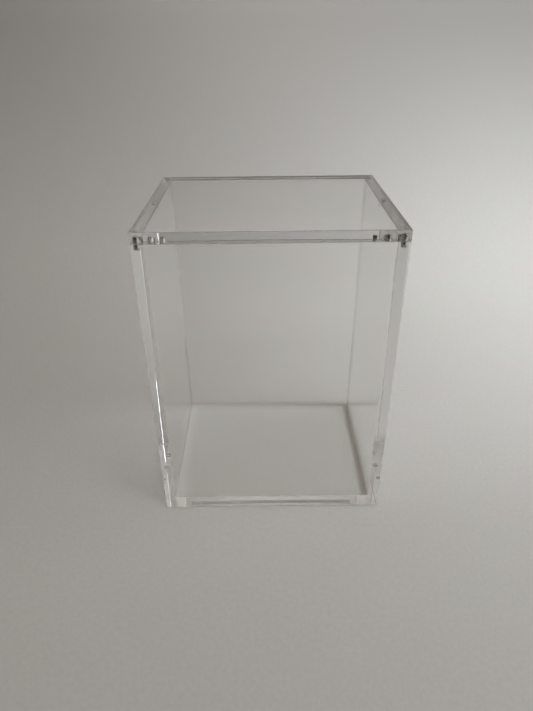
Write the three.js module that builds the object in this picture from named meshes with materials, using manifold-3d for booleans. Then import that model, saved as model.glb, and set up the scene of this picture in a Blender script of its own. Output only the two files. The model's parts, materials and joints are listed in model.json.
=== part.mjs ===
// A clear acrylic display case: five sheet panels bonded into an open-topped case, and a loose flat
// lid held down by rod magnets. Six magnets sit in the lid's underside, and six face them in the top
// edges of the two side walls.
//
// Units are millimetres. +Z is up, the front faces -Y, and the origin is the middle of the underside.

import * as THREE from "three";
import { mergeVertices } from "three/addons/utils/BufferGeometryUtils.js";
import Module from "manifold-3d";

// Driving dimensions
const OUTER_WIDTH = 127; // along X, over the side walls
const OUTER_DEPTH = 104.5; // along Y, over the front and back walls
const OUTER_HEIGHT = 171; // along Z, base and lid included
const SHEET = 5.5; // every panel is cut from sheet of this thickness
const MAGNET_DIAMETER = 3;
const MAGNET_LENGTH = 3;
const MAGNET_CHAMFER = 0.2; // on both end rims of a magnet
const MAGNET_INSET = 3; // from the front or back face to the nearest magnets' centres
const MAGNET_RECESS = 0.125; // each magnet's end lies this far below the surface it is let into
const HOLE_CLEARANCE = 0.25; // round a magnet, and behind it
const ROUND_SIDES = 24; // flats round a magnet or its hole

// Worked out from those
const WALL_HEIGHT = OUTER_HEIGHT - 2 * SHEET; // walls stand on the base and stop under the lid
const RIM_HEIGHT = OUTER_HEIGHT - SHEET; // where the lid rests
const INNER_WIDTH = OUTER_WIDTH - 2 * SHEET;
const SIDE_X = (OUTER_WIDTH - SHEET) / 2; // mid-thickness of a side wall
const END_Y = (OUTER_DEPTH - SHEET) / 2; // mid-thickness of the front or back wall
const WALL_Z = SHEET + WALL_HEIGHT / 2;
const HOLE_DEPTH = MAGNET_RECESS + MAGNET_LENGTH + HOLE_CLEARANCE;

const SIDES = [
  { side: "left", x: -SIDE_X },
  { side: "right", x: SIDE_X },
];
const STATIONS = [
  { station: "front", y: MAGNET_INSET - OUTER_DEPTH / 2 },
  { station: "middle", y: 0 },
  { station: "back", y: OUTER_DEPTH / 2 - MAGNET_INSET },
];

const wasm = await Module();
wasm.setup();

// A closed geometry as a solid that can be cut.
function solidFrom(geometry) {
  geometry.deleteAttribute("normal");
  geometry.deleteAttribute("uv");
  const merged = mergeVertices(geometry);
  const mesh = new wasm.Mesh({
    numProp: 3,
    vertProperties: merged.attributes.position.array,
    triVerts: new Uint32Array(merged.index.array),
  });
  return new wasm.Manifold(mesh);
}

// A solid as a geometry that can be drawn.
function geometryFrom(solid) {
  const mesh = solid.getMesh();
  const geometry = new THREE.BufferGeometry();
  geometry.setAttribute("position", new THREE.BufferAttribute(mesh.vertProperties, 3));
  geometry.setIndex(new THREE.BufferAttribute(mesh.triVerts, 1));
  geometry.computeVertexNormals();
  return geometry;
}

// Polished cast acrylic, clear with a trace of cool grey.
function acrylic() {
  return new THREE.MeshStandardMaterial({
    color: 0xe9eeec,
    roughness: 0.04,
    metalness: 0,
    transparent: true,
    opacity: 0.3,
    flatShading: true,
  });
}

// Bright nickel plating.
function nickel() {
  return new THREE.MeshStandardMaterial({
    color: 0xc9c6bf,
    roughness: 0.18,
    metalness: 1,
  });
}

// A blind hole's cutter, with its mouth centred on (x, y, z). It runs down, or up if `upward`.
function magnetHole(x, y, z, upward) {
  const radius = MAGNET_DIAMETER / 2 + HOLE_CLEARANCE;
  const overrun = 1; // past the mouth, for a clean cut
  const hole = new THREE.CylinderGeometry(radius, radius, HOLE_DEPTH + overrun, ROUND_SIDES);
  const middle = (HOLE_DEPTH - overrun) / 2;
  hole.rotateX(Math.PI / 2);
  hole.translate(x, y, upward ? z + middle : z - middle);
  return hole;
}

// A sheet panel of the given size centred on its own origin, less the holes.
function panel(name, size, holes = []) {
  let geometry = new THREE.BoxGeometry(...size);
  if (holes.length > 0) {
    const cutters = holes.map(solidFrom);
    const drilled = cutters.reduce((sheet, cutter) => sheet.subtract(cutter), solidFrom(geometry));
    geometry = geometryFrom(drilled);
  }
  const mesh = new THREE.Mesh(geometry, acrylic());
  mesh.name = name;
  return mesh;
}

// A rod magnet standing along Z, centred on its own origin, with both end rims chamfered.
function magnet(name) {
  const radius = MAGNET_DIAMETER / 2;
  const half = MAGNET_LENGTH / 2;
  const profile = [
    new THREE.Vector2(0, -half),
    new THREE.Vector2(radius - MAGNET_CHAMFER, -half),
    new THREE.Vector2(radius, MAGNET_CHAMFER - half),
    new THREE.Vector2(radius, half - MAGNET_CHAMFER),
    new THREE.Vector2(radius - MAGNET_CHAMFER, half),
    new THREE.Vector2(0, half),
  ];
  const geometry = new THREE.LatheGeometry(profile, ROUND_SIDES);
  geometry.rotateX(Math.PI / 2);
  const mesh = new THREE.Mesh(geometry, nickel());
  mesh.name = name;
  return mesh;
}

// The base panel takes the full footprint, and the four walls stand on it.
function basePanel() {
  const base = panel("base_panel", [OUTER_WIDTH, OUTER_DEPTH, SHEET]);
  base.position.z = SHEET / 2;
  return base;
}

// The side walls run the full depth. Their top edges take three magnets each.
function sideWall({ side, x }) {
  const holes = STATIONS.map(({ y }) => magnetHole(0, y, WALL_HEIGHT / 2, false));
  const wall = panel(`${side}_panel`, [SHEET, OUTER_DEPTH, WALL_HEIGHT], holes);
  wall.position.set(x, 0, WALL_Z);
  return wall;
}

// The front and back walls fit between the side walls.
function endWall(name, y) {
  const wall = panel(name, [INNER_WIDTH, SHEET, WALL_HEIGHT]);
  wall.position.set(0, y, WALL_Z);
  return wall;
}

// The lid is a flat sheet over the full footprint, drilled from below over each side wall.
function lidPanel() {
  const holes = SIDES.flatMap(({ x }) =>
    STATIONS.map(({ y }) => magnetHole(x, y, -SHEET / 2, true)),
  );
  const lid = panel("lid_panel", [OUTER_WIDTH, OUTER_DEPTH, SHEET], holes);
  lid.position.z = RIM_HEIGHT + SHEET / 2;
  return lid;
}

// One magnet at every station of both side walls, centred at height z.
function magnetRow(owner, z) {
  return SIDES.flatMap(({ side, x }) =>
    STATIONS.map(({ station, y }) => {
      const rod = magnet(`${owner}_magnet_${side}_${station}`);
      rod.position.set(x, y, z);
      return rod;
    }),
  );
}

const toMagnetMiddle = MAGNET_RECESS + MAGNET_LENGTH / 2;

const openCase = new THREE.Group();
openCase.add(basePanel());
openCase.add(endWall("front_panel", -END_Y));
openCase.add(endWall("back_panel", END_Y));
openCase.add(...SIDES.map(sideWall));
openCase.add(...magnetRow("wall", RIM_HEIGHT - toMagnetMiddle));

const lid = new THREE.Group();
lid.add(lidPanel());
lid.add(...magnetRow("lid", RIM_HEIGHT + toMagnetMiddle));

const displayCase = new THREE.Group();
displayCase.add(openCase, lid);

export default displayCase;
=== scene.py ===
"""The looks of a clear acrylic display case with a lift-off lid held by magnets.

The sheets are closed solids with rounded arrises. Where two of them are cemented, the faces that meet
let light straight through, so that the case bends light as one block of acrylic. The lid and the
walls' rim keep a film of air between them, and so do the base and whatever the case stands on.
Lengths are in metres and angles in degrees.
"""

import json
import math

import bmesh
import bpy
from mathutils import Matrix, Vector


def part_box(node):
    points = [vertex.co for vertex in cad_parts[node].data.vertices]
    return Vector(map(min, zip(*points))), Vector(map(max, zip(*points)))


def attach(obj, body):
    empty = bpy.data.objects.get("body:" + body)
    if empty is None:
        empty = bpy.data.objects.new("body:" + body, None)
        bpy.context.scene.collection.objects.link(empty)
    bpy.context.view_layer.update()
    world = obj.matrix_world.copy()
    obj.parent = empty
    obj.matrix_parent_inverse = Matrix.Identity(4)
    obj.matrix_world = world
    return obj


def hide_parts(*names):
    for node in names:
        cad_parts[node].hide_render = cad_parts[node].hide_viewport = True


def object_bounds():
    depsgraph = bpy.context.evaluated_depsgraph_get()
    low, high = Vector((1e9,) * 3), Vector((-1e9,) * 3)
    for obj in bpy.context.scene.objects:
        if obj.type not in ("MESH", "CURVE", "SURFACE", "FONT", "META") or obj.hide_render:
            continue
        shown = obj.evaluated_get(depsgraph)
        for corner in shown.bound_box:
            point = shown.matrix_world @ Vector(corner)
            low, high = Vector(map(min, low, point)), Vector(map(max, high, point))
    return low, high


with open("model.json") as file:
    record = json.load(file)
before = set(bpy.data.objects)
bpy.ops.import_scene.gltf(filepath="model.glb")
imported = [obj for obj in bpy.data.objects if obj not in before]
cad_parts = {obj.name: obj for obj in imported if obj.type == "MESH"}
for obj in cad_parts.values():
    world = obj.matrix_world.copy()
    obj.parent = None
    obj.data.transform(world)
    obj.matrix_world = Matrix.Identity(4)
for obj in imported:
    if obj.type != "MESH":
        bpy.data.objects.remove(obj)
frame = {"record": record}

cad_low, cad_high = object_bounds()
BODIES = frame["record"]["behaviour"]["bodies"]
CASE = "case"

MM = 0.001
ARRIS = 0.3 * MM  # rounding of each panel's edges
ARRIS_STEPS = 4
AIR_FILM = 0.06 * MM  # between surfaces that only rest on each other
GLUE_FILM = 0.02 * MM  # round a magnet, once its adhesive has filled the hole
MAGNET_ARRIS = 0.22 * MM  # rounding of both end rims of a magnet
MAGNET_SIDES = 64
OVERRUN = 5 * MM  # of a hole's cutter, past the mouth of the hole
TOUCHING = 0.001 * MM  # faces nearer than this touch

ACRYLIC_IOR = 1.49

# The order of the material slots on a panel
FACE, EDGE, BOND, HOLE = range(4)


# ---------------------------------------------------------------- materials


class Graph:
    """A node tree under construction. place is where its textures are looked up."""

    def __init__(self, tree, coordinates):
        self.nodes, self.links = tree.nodes, tree.links
        self.nodes.clear()
        self.place = self.node("ShaderNodeTexCoord").outputs[coordinates]

    def node(self, kind, inputs=None, **settings):
        """A new node. An input is set to a value, or linked if it is given an output socket."""
        made = self.nodes.new(kind)
        for key, value in settings.items():
            setattr(made, key, value)
        for key, value in (inputs or {}).items():
            self.put(made.inputs[key], value)
        return made

    def put(self, socket, value):
        if isinstance(value, bpy.types.NodeSocket):
            self.links.new(value, socket)
        else:
            socket.default_value = value

    def stretched(self, scale):
        """Object coordinates multiplied by scale, one number per axis."""
        return self.node("ShaderNodeMapping", {"Vector": self.place, "Scale": scale}).outputs["Vector"]

    def noise(self, scale, detail=2.0, roughness=0.5, place=None):
        """Noise from 0 to 1, with scale lumps to a metre."""
        inputs = {
            "Vector": place or self.place,
            "Scale": scale,
            "Detail": detail,
            "Roughness": roughness,
        }
        return self.node("ShaderNodeTexNoise", inputs).outputs["Fac"]

    def ranged(self, value, low, high, to_low, to_high):
        """value taken from the range low to high onto to_low to to_high, and held there."""
        inputs = {
            "Value": value,
            "From Min": low,
            "From Max": high,
            "To Min": to_low,
            "To Max": to_high,
        }
        return self.node("ShaderNodeMapRange", inputs).outputs["Result"]

    def math(self, operation, first, second):
        made = self.node("ShaderNodeMath", operation=operation)
        self.put(made.inputs[0], first)
        self.put(made.inputs[1], second)
        return made.outputs["Value"]

    def specks(self, scale, size, share):
        """1 on small round specks, and 0 elsewhere. share of the cells of 1/scale metres hold one."""
        inputs = {"Vector": self.place, "Scale": scale}
        cells = self.node("ShaderNodeTexVoronoi", inputs)
        near = self.math("LESS_THAN", cells.outputs["Distance"], size)
        channels = self.node("ShaderNodeSeparateColor", {"Color": cells.outputs["Color"]})
        chosen = self.math("LESS_THAN", channels.outputs["Red"], share)
        return self.math("MULTIPLY", near, chosen)

    def blend(self, share, first, second):
        """The colour first where share is 0, and second where it is 1."""
        made = self.node("ShaderNodeMix", {"Factor": share}, data_type="RGBA")
        for socket, colour in ((made.inputs[6], first), (made.inputs[7], second)):
            self.put(socket, colour if isinstance(colour, bpy.types.NodeSocket) else (*colour, 1))
        return made.outputs[2]

    def bump(self, height, distance, under=None):
        """A bump of height times distance metres, on top of the bump under it."""
        inputs = {"Height": height, "Distance": distance, "Strength": 1.0}
        if under is not None:
            inputs["Normal"] = under
        return self.node("ShaderNodeBump", inputs).outputs["Normal"]

    def unscattered(self, turned):
        """1 for rays that no matt face has scattered, and that mirroring faces have or haven't turned."""
        path = self.node("ShaderNodeLightPath").outputs
        unscattered = self.math("LESS_THAN", path["Diffuse Depth"], 0.5)
        chosen = self.math("GREATER_THAN" if turned else "LESS_THAN", path["Glossy Depth"], 0.5)
        return self.math("MULTIPLY", unscattered, chosen)


class Surface(Graph):
    """A node material with one Principled shader."""

    def __init__(self, name):
        self.material = bpy.data.materials.new(name)
        self.material.use_nodes = True
        super().__init__(self.material.node_tree, "Object")
        self.shader = self.node("ShaderNodeBsdfPrincipled")
        self.node("ShaderNodeOutputMaterial", {"Surface": self.shader.outputs["BSDF"]})

    def set(self, **values):
        """Sets the shader's inputs, such as Base_Color or IOR."""
        for key, value in values.items():
            self.put(self.shader.inputs[key.replace("_", " ")], value)


def acrylic_face():
    """The sheet's own faces: glossy, very slightly wavy, with faint smears and a few specks of dust."""
    g = Surface("acrylic_face")
    dust = g.specks(scale=260, size=0.045, share=0.16)
    smears = g.ranged(g.noise(38, detail=4), 0.45, 0.8, 0.0, 0.035)
    tint = g.blend(g.noise(9), (0.988, 0.989, 0.984), (0.998, 0.998, 0.995))
    g.set(
        Base_Color=tint,
        Roughness=g.math("ADD", smears, g.math("MULTIPLY", dust, 0.5)),
        Normal=g.bump(g.noise(16), 0.002 * MM),
        IOR=ACRYLIC_IOR,
        Transmission_Weight=1.0,
    )
    return g.material


def acrylic_edge(name, across, tint, waves, wave_height):
    """A polished sheet edge, with fine cutter lines that are packed closely in the direction across.

    The lines lie on waves of this height, so many to a metre, which the cutter's chatter left.
    """
    g = Surface(name)
    lines_per_metre = [2500 if axis == across else 30 for axis in "XYZ"]
    lines = g.noise(1, detail=3, roughness=0.6, place=g.stretched(lines_per_metre))
    g.set(
        Base_Color=g.blend(g.noise(30), (tint, tint + 0.01, tint), (tint + 0.03,) * 3),
        Roughness=g.ranged(lines, 0.35, 0.75, 0.01, 0.06),
        Normal=g.bump(lines, 0.0003 * MM, g.bump(g.noise(waves, detail=1), wave_height)),
        IOR=ACRYLIC_IOR,
        Transmission_Weight=1.0,
    )
    return g.material


def acrylic_bond():
    """A cemented joint. Light goes straight through, apart from a few tiny bubbles."""
    g = Surface("acrylic_bond")
    bubbles = g.specks(scale=390, size=0.075, share=0.005)
    g.set(
        Base_Color=g.blend(g.noise(400), (0.75, 0.78, 0.77), (0.92, 0.93, 0.92)),
        Roughness=0.35,
        Alpha=g.math("MULTIPLY", bubbles, 0.5),
        IOR=ACRYLIC_IOR,
        Transmission_Weight=1.0,
    )
    return g.material


def magnet_adhesive():
    """The clear adhesive round a magnet, with a thin milky patch here and there."""
    g = Surface("magnet_adhesive")
    patches = g.ranged(g.noise(900, detail=3), 0.55, 0.75, 0.0, 0.25)
    g.set(
        Base_Color=g.blend(g.noise(500), (0.8, 0.8, 0.76), (0.92, 0.92, 0.9)),
        Roughness=0.4,
        Alpha=patches,
        IOR=ACRYLIC_IOR,
        Transmission_Weight=1.0,
    )
    return g.material


def nickel_plating():
    """Bright nickel with fine tumbling marks and slightly duller patches."""
    g = Surface("nickel_plating")
    dull = g.noise(900, detail=4, roughness=0.6)
    marks = g.noise(1, detail=3, place=g.stretched([9000, 9000, 1500]))
    g.set(
        Base_Color=g.blend(dull, (0.48, 0.46, 0.43), (0.66, 0.64, 0.60)),
        Metallic=1.0,
        Roughness=g.ranged(dull, 0.3, 0.8, 0.06, 0.18),
        Normal=g.bump(marks, 0.002 * MM),
    )
    return g.material


def backdrop_paper():
    """Matt pale paper with a faint fibre and warmer and cooler patches, and painted shade that darkens it
    where it rises.

    Mirroring faces find its front end painted near black, a painted shade, and its right end painted
    lighter, a painted light.
    """
    g = Surface("backdrop_paper")
    fibre = g.noise(1400, detail=3, roughness=0.7)
    grain = g.ranged(g.noise(420, detail=4, roughness=0.7), 0.35, 0.65, 0.0, 1.0)
    warm = g.blend(grain, (0.595, 0.585, 0.573), (0.635, 0.622, 0.61))
    cool = g.blend(grain, (0.588, 0.592, 0.573), (0.627, 0.63, 0.61))
    patches = g.ranged(g.noise(22), 0.35, 0.65, 0.0, 1.0)
    place = g.node("ShaderNodeSeparateXYZ", {"Vector": g.place}).outputs
    rise_painted_shade = g.ranged(place["Z"], 0.03, 0.25, 0.0, 1.0)
    front_painted_shade = g.ranged(place["Y"], -0.45, -0.32, 1.0, 0.0)
    right_painted_light = g.ranged(place["X"], 0.3, 0.45, 0.0, 1.0)
    turned = g.unscattered(turned=True)
    paper = g.blend(patches, warm, cool)
    # painted shade: the paper is painted darker where it rises, standing in for the weaker light on the
    # sweep and wall
    paper = g.blend(rise_painted_shade, paper, (0.475, 0.47, 0.46))
    # painted light: in mirrored rays the paper's right end is painted lighter, so the acrylic shows a
    # brighter reflection of it
    paper = g.blend(g.math("MULTIPLY", turned, right_painted_light), paper, (0.95, 0.95, 0.93))
    # painted shade: in mirrored rays the paper's front end is painted near black, as if shaded by whoever
    # looks at the case
    paper = g.blend(g.math("MULTIPLY", turned, front_painted_shade), paper, (0.05, 0.05, 0.05))
    g.set(
        Base_Color=paper,
        Roughness=g.ranged(fibre, 0.3, 0.7, 0.85, 1.0),
        Normal=g.bump(fibre, 0.02 * MM),
        Specular_IOR_Level=0.2,
    )
    return g.material


# ---------------------------------------------------------------- panels


def touching_faces(name):
    """Where this panel is cemented to the others: (axis, place, low corner, high corner) for each."""
    found = []
    if name not in BODIES[CASE]:
        return found
    own_low, own_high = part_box(name)
    for other in BODIES[CASE]:
        if other == name or not other.endswith("_panel"):
            continue
        other_low, other_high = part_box(other)
        low = Vector(map(max, own_low, other_low))
        high = Vector(map(min, own_high, other_high))
        spans = high - low
        flat = [axis for axis in range(3) if abs(spans[axis]) < TOUCHING]
        if len(flat) == 1 and min(spans[axis] for axis in range(3) if axis != flat[0]) > TOUCHING:
            found.append((flat[0], low[flat[0]], low, high))
    return found


def on_plane(element, axis, place):
    """True if a face or an edge lies on the plane axis = place."""
    return all(abs(v.co[axis] - place) < TOUCHING for v in element.verts)


def cut_side(bm, axis, place, along, at):
    """Cuts the faces that lie on the plane axis = place, where the coordinate along is at."""
    faces = [f for f in bm.faces if on_plane(f, axis, place)]
    geometry = set(faces)
    for face in faces:
        geometry.update(face.edges)
        geometry.update(face.verts)
    point, normal = Vector(), Vector()
    point[along], normal[along] = at, 1
    bmesh.ops.bisect_plane(bm, geom=list(geometry), plane_co=point, plane_no=normal, dist=TOUCHING)


def inside(point, low, high, axis, margin=0.0):
    """True if point is in the rectangle low to high, which is square to axis, or within margin of it."""
    return all(low[i] - margin < point[i] < high[i] + margin for i in range(3) if i != axis)


def is_cemented(edge, joints):
    """True if an edge of a plain box lies in a joint or borders on one."""
    middle = (edge.verts[0].co + edge.verts[1].co) / 2
    return any(
        on_plane(edge, axis, place) and inside(middle, low, high, axis, TOUCHING)
        for axis, place, low, high in joints
    )


def sheet_mesh(name, low, high, joints):
    """A closed panel with its faces sorted into the material slots. Its free edges are rounded."""
    bm = bmesh.new()
    bmesh.ops.create_cube(bm, size=1)
    bmesh.ops.scale(bm, vec=high - low, verts=bm.verts)
    bmesh.ops.translate(bm, vec=(low + high) / 2, verts=bm.verts)
    bmesh.ops.bevel(
        bm,
        geom=[edge for edge in bm.edges if not is_cemented(edge, joints)],
        offset=ARRIS,
        offset_type="OFFSET",
        segments=ARRIS_STEPS,
        profile=0.5,
        affect="EDGES",
    )
    bm.normal_update()
    thin = min(range(3), key=lambda axis: high[axis] - low[axis])
    for face in bm.faces:
        face.material_index = FACE if abs(face.normal[thin]) > 0.99 else EDGE
    for axis, place, joint_low, joint_high in joints:
        for along in range(3):
            if along != axis:
                cut_side(bm, axis, place, along, joint_low[along])
                cut_side(bm, axis, place, along, joint_high[along])
        for face in bm.faces:
            middle = face.calc_center_median()
            if on_plane(face, axis, place) and inside(middle, joint_low, joint_high, axis):
                face.material_index = BOND
    mesh = bpy.data.meshes.new(name)
    bm.to_mesh(mesh)
    bm.free()
    return mesh


def turned_mesh(name, outline, sides, centre):
    """A closed solid of revolution about the vertical through centre. outline runs up from axis to axis."""
    bm = bmesh.new()
    rings = []
    for radius, height in outline:
        steps = sides if radius > 0 else 1
        ring = []
        for step in range(steps):
            angle = math.tau * step / steps
            offset = Vector((radius * math.cos(angle), radius * math.sin(angle), height))
            ring.append(bm.verts.new(centre + offset))
        rings.append(ring)
    for lower, upper in zip(rings, rings[1:]):
        for step in range(sides):
            following = (step + 1) % sides
            corners = [
                lower[step % len(lower)],
                lower[following % len(lower)],
                upper[following % len(upper)],
                upper[step % len(upper)],
            ]
            bm.faces.new(dict.fromkeys(corners))
    mesh = bpy.data.meshes.new(name)
    bm.to_mesh(mesh)
    bm.free()
    return mesh


def placed(mesh, materials):
    """An object for mesh, with these materials."""
    for material in materials:
        mesh.materials.append(material)
    piece = bpy.data.objects.new(mesh.name, mesh)
    bpy.context.scene.collection.objects.link(piece)
    return piece


def smooth_flanks(mesh):
    """Shades a turned solid smooth, apart from its flat ends."""
    for polygon in mesh.polygons:
        polygon.use_smooth = abs(polygon.normal.z) < 0.99


def drilled(piece, magnets):
    """Cuts a hole for each magnet, from the panel's surface to just behind the magnet."""
    for magnet in magnets:
        low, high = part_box(magnet)
        centre = (low + high) / 2
        radius = (high.x - low.x) / 2 + GLUE_FILM
        mouth_above = magnet in BODIES[CASE]
        top = high.z + (OVERRUN if mouth_above else GLUE_FILM)
        bottom = low.z - (GLUE_FILM if mouth_above else OVERRUN)
        outline = [
            (0, bottom - centre.z),
            (radius, bottom - centre.z),
            (radius, top - centre.z),
            (0, top - centre.z),
        ]
        cutter_mesh = turned_mesh("cutter", outline, MAGNET_SIDES, centre)
        for polygon in cutter_mesh.polygons:
            polygon.material_index = HOLE
        cutter = placed(cutter_mesh, list(piece.data.materials))
        cut = piece.modifiers.new("hole", "BOOLEAN")
        cut.object, cut.operation, cut.solver = cutter, "DIFFERENCE", "EXACT"
        whole = bpy.data.meshes.new_from_object(
            piece.evaluated_get(bpy.context.evaluated_depsgraph_get())
        )
        piece.modifiers.remove(cut)
        piece.data = whole
        bpy.data.objects.remove(cutter)


def body_of(node):
    return next(body for body, nodes in BODIES.items() if node in nodes)


def magnets_in(panel):
    """The magnets let into a panel: those of its body whose centres lie inside its box."""
    low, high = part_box(panel)
    found = []
    for node in BODIES[body_of(panel)]:
        if "_magnet_" in node:
            centre = sum(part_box(node), Vector()) / 2
            if all(low[i] < centre[i] < high[i] for i in range(3)):
                found.append(node)
    return found


def make_panel(node, materials):
    low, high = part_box(node)
    if node in BODIES[CASE] and high.z > low.z + (cad_high.z - cad_low.z) / 2:
        high.z -= AIR_FILM
    mesh = sheet_mesh("clear_" + node, low, high, touching_faces(node))
    piece = placed(mesh, materials)
    drilled(piece, magnets_in(node))
    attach(piece, body_of(node))
    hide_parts(node)


def make_magnet(node, material):
    low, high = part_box(node)
    centre = (low + high) / 2
    radius, half = (high.x - low.x) / 2, (high.z - low.z) / 2
    turns = [math.radians(angle) for angle in (0, 22.5, 45, 67.5, 90)]
    corner = [(math.sin(a) * MAGNET_ARRIS, (1 - math.cos(a)) * MAGNET_ARRIS) for a in turns]
    lower = [(radius - MAGNET_ARRIS + out, up - half) for out, up in corner]
    upper = [(r, -h) for r, h in reversed(lower)]
    outline = [(0, -half), *lower, *upper, (0, half)]
    piece = placed(turned_mesh("plated_" + node, outline, MAGNET_SIDES, centre), [material])
    smooth_flanks(piece.data)
    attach(piece, body_of(node))
    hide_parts(node)


# ---------------------------------------------------------------- studio


def make_backdrop():
    """A sheet of paper that runs flat under the case and then sweeps up behind it."""
    front, turn, radius, top, half_width = -1.6, 0.17, 0.33, 1.6, 1.8
    turn_steps = 24
    profile = [(front, 0.0)]
    for step in range(turn_steps + 1):
        angle = math.pi / 2 * step / turn_steps
        profile.append((turn + radius * math.sin(angle), radius * (1 - math.cos(angle))))
    profile.append((turn + radius, top))
    bm = bmesh.new()
    rows = [
        [bm.verts.new((x, y, z - AIR_FILM)) for x in (-half_width, half_width)] for y, z in profile
    ]
    for near, far in zip(rows, rows[1:]):
        bm.faces.new((near[0], near[1], far[1], far[0]))
    mesh = bpy.data.meshes.new("backdrop")
    bm.to_mesh(mesh)
    bm.free()
    for polygon in mesh.polygons:
        polygon.use_smooth = True
    backdrop = placed(mesh, [backdrop_paper()])


def make_light(name, place, target, size, power, spread, colour):
    """A softbox of this width and height that faces target. Its light spreads by spread degrees."""
    lamp = bpy.data.lights.new(name, "AREA")
    lamp.shape = "RECTANGLE"
    lamp.size, lamp.size_y = size
    lamp.energy = power
    lamp.spread = math.radians(spread)
    lamp.color = colour
    holder = bpy.data.objects.new(name, lamp)
    bpy.context.scene.collection.objects.link(holder)
    holder.location = place
    holder.rotation_euler = (Vector(target) - Vector(place)).to_track_quat("-Z", "Y").to_euler()


def make_world(seen, colour, around, overhead, right):
    """A pale room. Looked at directly, or straight through the case, it shows the colour seen.

    Matt surfaces and mirroring faces get its light in the other colour, with the strength around at the
    horizon, overhead above, and right added low down on the right. Mirroring faces also find it dimmer
    overhead, and dark in front, where whoever looks at the case stands.
    """
    world = bpy.data.worlds.new("studio")
    world.use_nodes = True
    world.cycles.sampling_method = "NONE"
    g = Graph(world.node_tree, "Generated")
    direction = g.node("ShaderNodeSeparateXYZ", {"Vector": g.place}).outputs
    x, y, z = (direction[axis] for axis in "XYZ")
    ceiling = g.ranged(z, 0.4, 0.9, 0.0, 1.0)
    low_down = g.ranged(z, 0.4, 0.7, 1.0, 0.0)
    bright_side = g.math("MULTIPLY", g.ranged(x, 0.1, 0.8, 0.0, right), low_down)
    light = g.math("ADD", g.ranged(ceiling, 0.0, 1.0, around, overhead), bright_side)
    forward = g.ranged(y, -0.45, -0.15, 0.92, 0.0)
    looker = g.math("MULTIPLY", forward, g.ranged(z, 0.5, 0.75, 1.0, 0.0))
    dim = g.math("MAXIMUM", looker, g.math("MULTIPLY", ceiling, 0.6))
    lost = g.math("MULTIPLY", dim, g.unscattered(turned=True))
    light = g.math("MULTIPLY", light, g.math("SUBTRACT", 1.0, lost))
    straight = g.unscattered(turned=False)
    inputs = {
        "Color": g.blend(straight, colour, seen),
        "Strength": g.math("MAXIMUM", light, straight),
    }
    background = g.node("ShaderNodeBackground", inputs)
    g.node("ShaderNodeOutputWorld", {"Surface": background.outputs["Background"]})
    bpy.context.scene.world = world


def make_camera(place, pitch, yaw, roll, lens):
    """A camera at place, pitch below the horizon, yaw to the right of +Y, and rolled clockwise."""
    p, y, r = (math.radians(angle) for angle in (pitch, yaw, roll))
    forward = Vector((math.sin(y) * math.cos(p), math.cos(y) * math.cos(p), -math.sin(p)))
    level = Vector((math.cos(y), -math.sin(y), 0))
    upright = level.cross(forward)
    right = math.cos(r) * level + math.sin(r) * upright
    up = math.cos(r) * upright - math.sin(r) * level
    data = bpy.data.cameras.new("camera")
    data.lens = lens
    data.clip_start = 0.01
    camera = bpy.data.objects.new("camera", data)
    camera.matrix_world = Matrix.Translation(place) @ Matrix((right, up, -forward)).transposed().to_4x4()
    bpy.context.scene.collection.objects.link(camera)
    bpy.context.scene.camera = camera


def allow_deep_paths():
    """Light runs along a clear sheet by many reflections, so paths are let run long."""
    cycles = bpy.context.scene.cycles
    cycles.max_bounces = 48
    cycles.glossy_bounces = 48
    cycles.transmission_bounces = 48
    cycles.transparent_max_bounces = 64
    cycles.caustics_reflective = True
    cycles.caustics_refractive = True
    cycles.blur_glossy = 0.0
    cycles.sample_clamp_indirect = 0.0


# ---------------------------------------------------------------- the case and its studio

face, bond, adhesive, nickel = acrylic_face(), acrylic_bond(), magnet_adhesive(), nickel_plating()
wall_edge = acrylic_edge("wall_edge", "X", tint=0.93, waves=140, wave_height=0.0003 * MM)
base_edge = acrylic_edge("base_edge", "Z", tint=0.81, waves=140, wave_height=0.0003 * MM)
lid_edge = acrylic_edge("lid_edge", "Z", tint=0.8, waves=700, wave_height=0.004 * MM)

make_panel("base_panel", [face, base_edge, bond, adhesive])
make_panel("lid_panel", [face, lid_edge, bond, adhesive])
for panel_node in ("left_panel", "right_panel", "front_panel", "back_panel"):
    make_panel(panel_node, [face, wall_edge, bond, adhesive])
for nodes in BODIES.values():
    for magnet_node in nodes:
        if "_magnet_" in magnet_node:
            make_magnet(magnet_node, nickel)

make_backdrop()
make_light("window", (1.2, -0.42, 0.7), (0.0, 0.2, 0.1), (1.8, 0.8), 14.3, 180, (0.93, 0.97, 1.0))
make_light("side", (0.50, 0.05, 0.50), (0.22, 0.26, 0.0), (0.3, 0.3), 0.41, 80, (0.97, 1.0, 1.0))
make_light("wall", (0.0, -0.10, 0.90), (0.0, 0.5, 0.55), (0.3, 0.3), 0.28, 45, (1.0, 0.93, 0.88))
make_world((0.42, 0.41, 0.39), (1.0, 0.84, 0.71), around=0.125, overhead=0.37, right=0.08)
make_camera(Vector((-0.0032, -0.2879, 0.2489)), pitch=31.12, yaw=0.21, roll=-0.56, lens=27.6)
bpy.context.scene.view_settings.view_transform = "Standard"
allow_deep_paths()
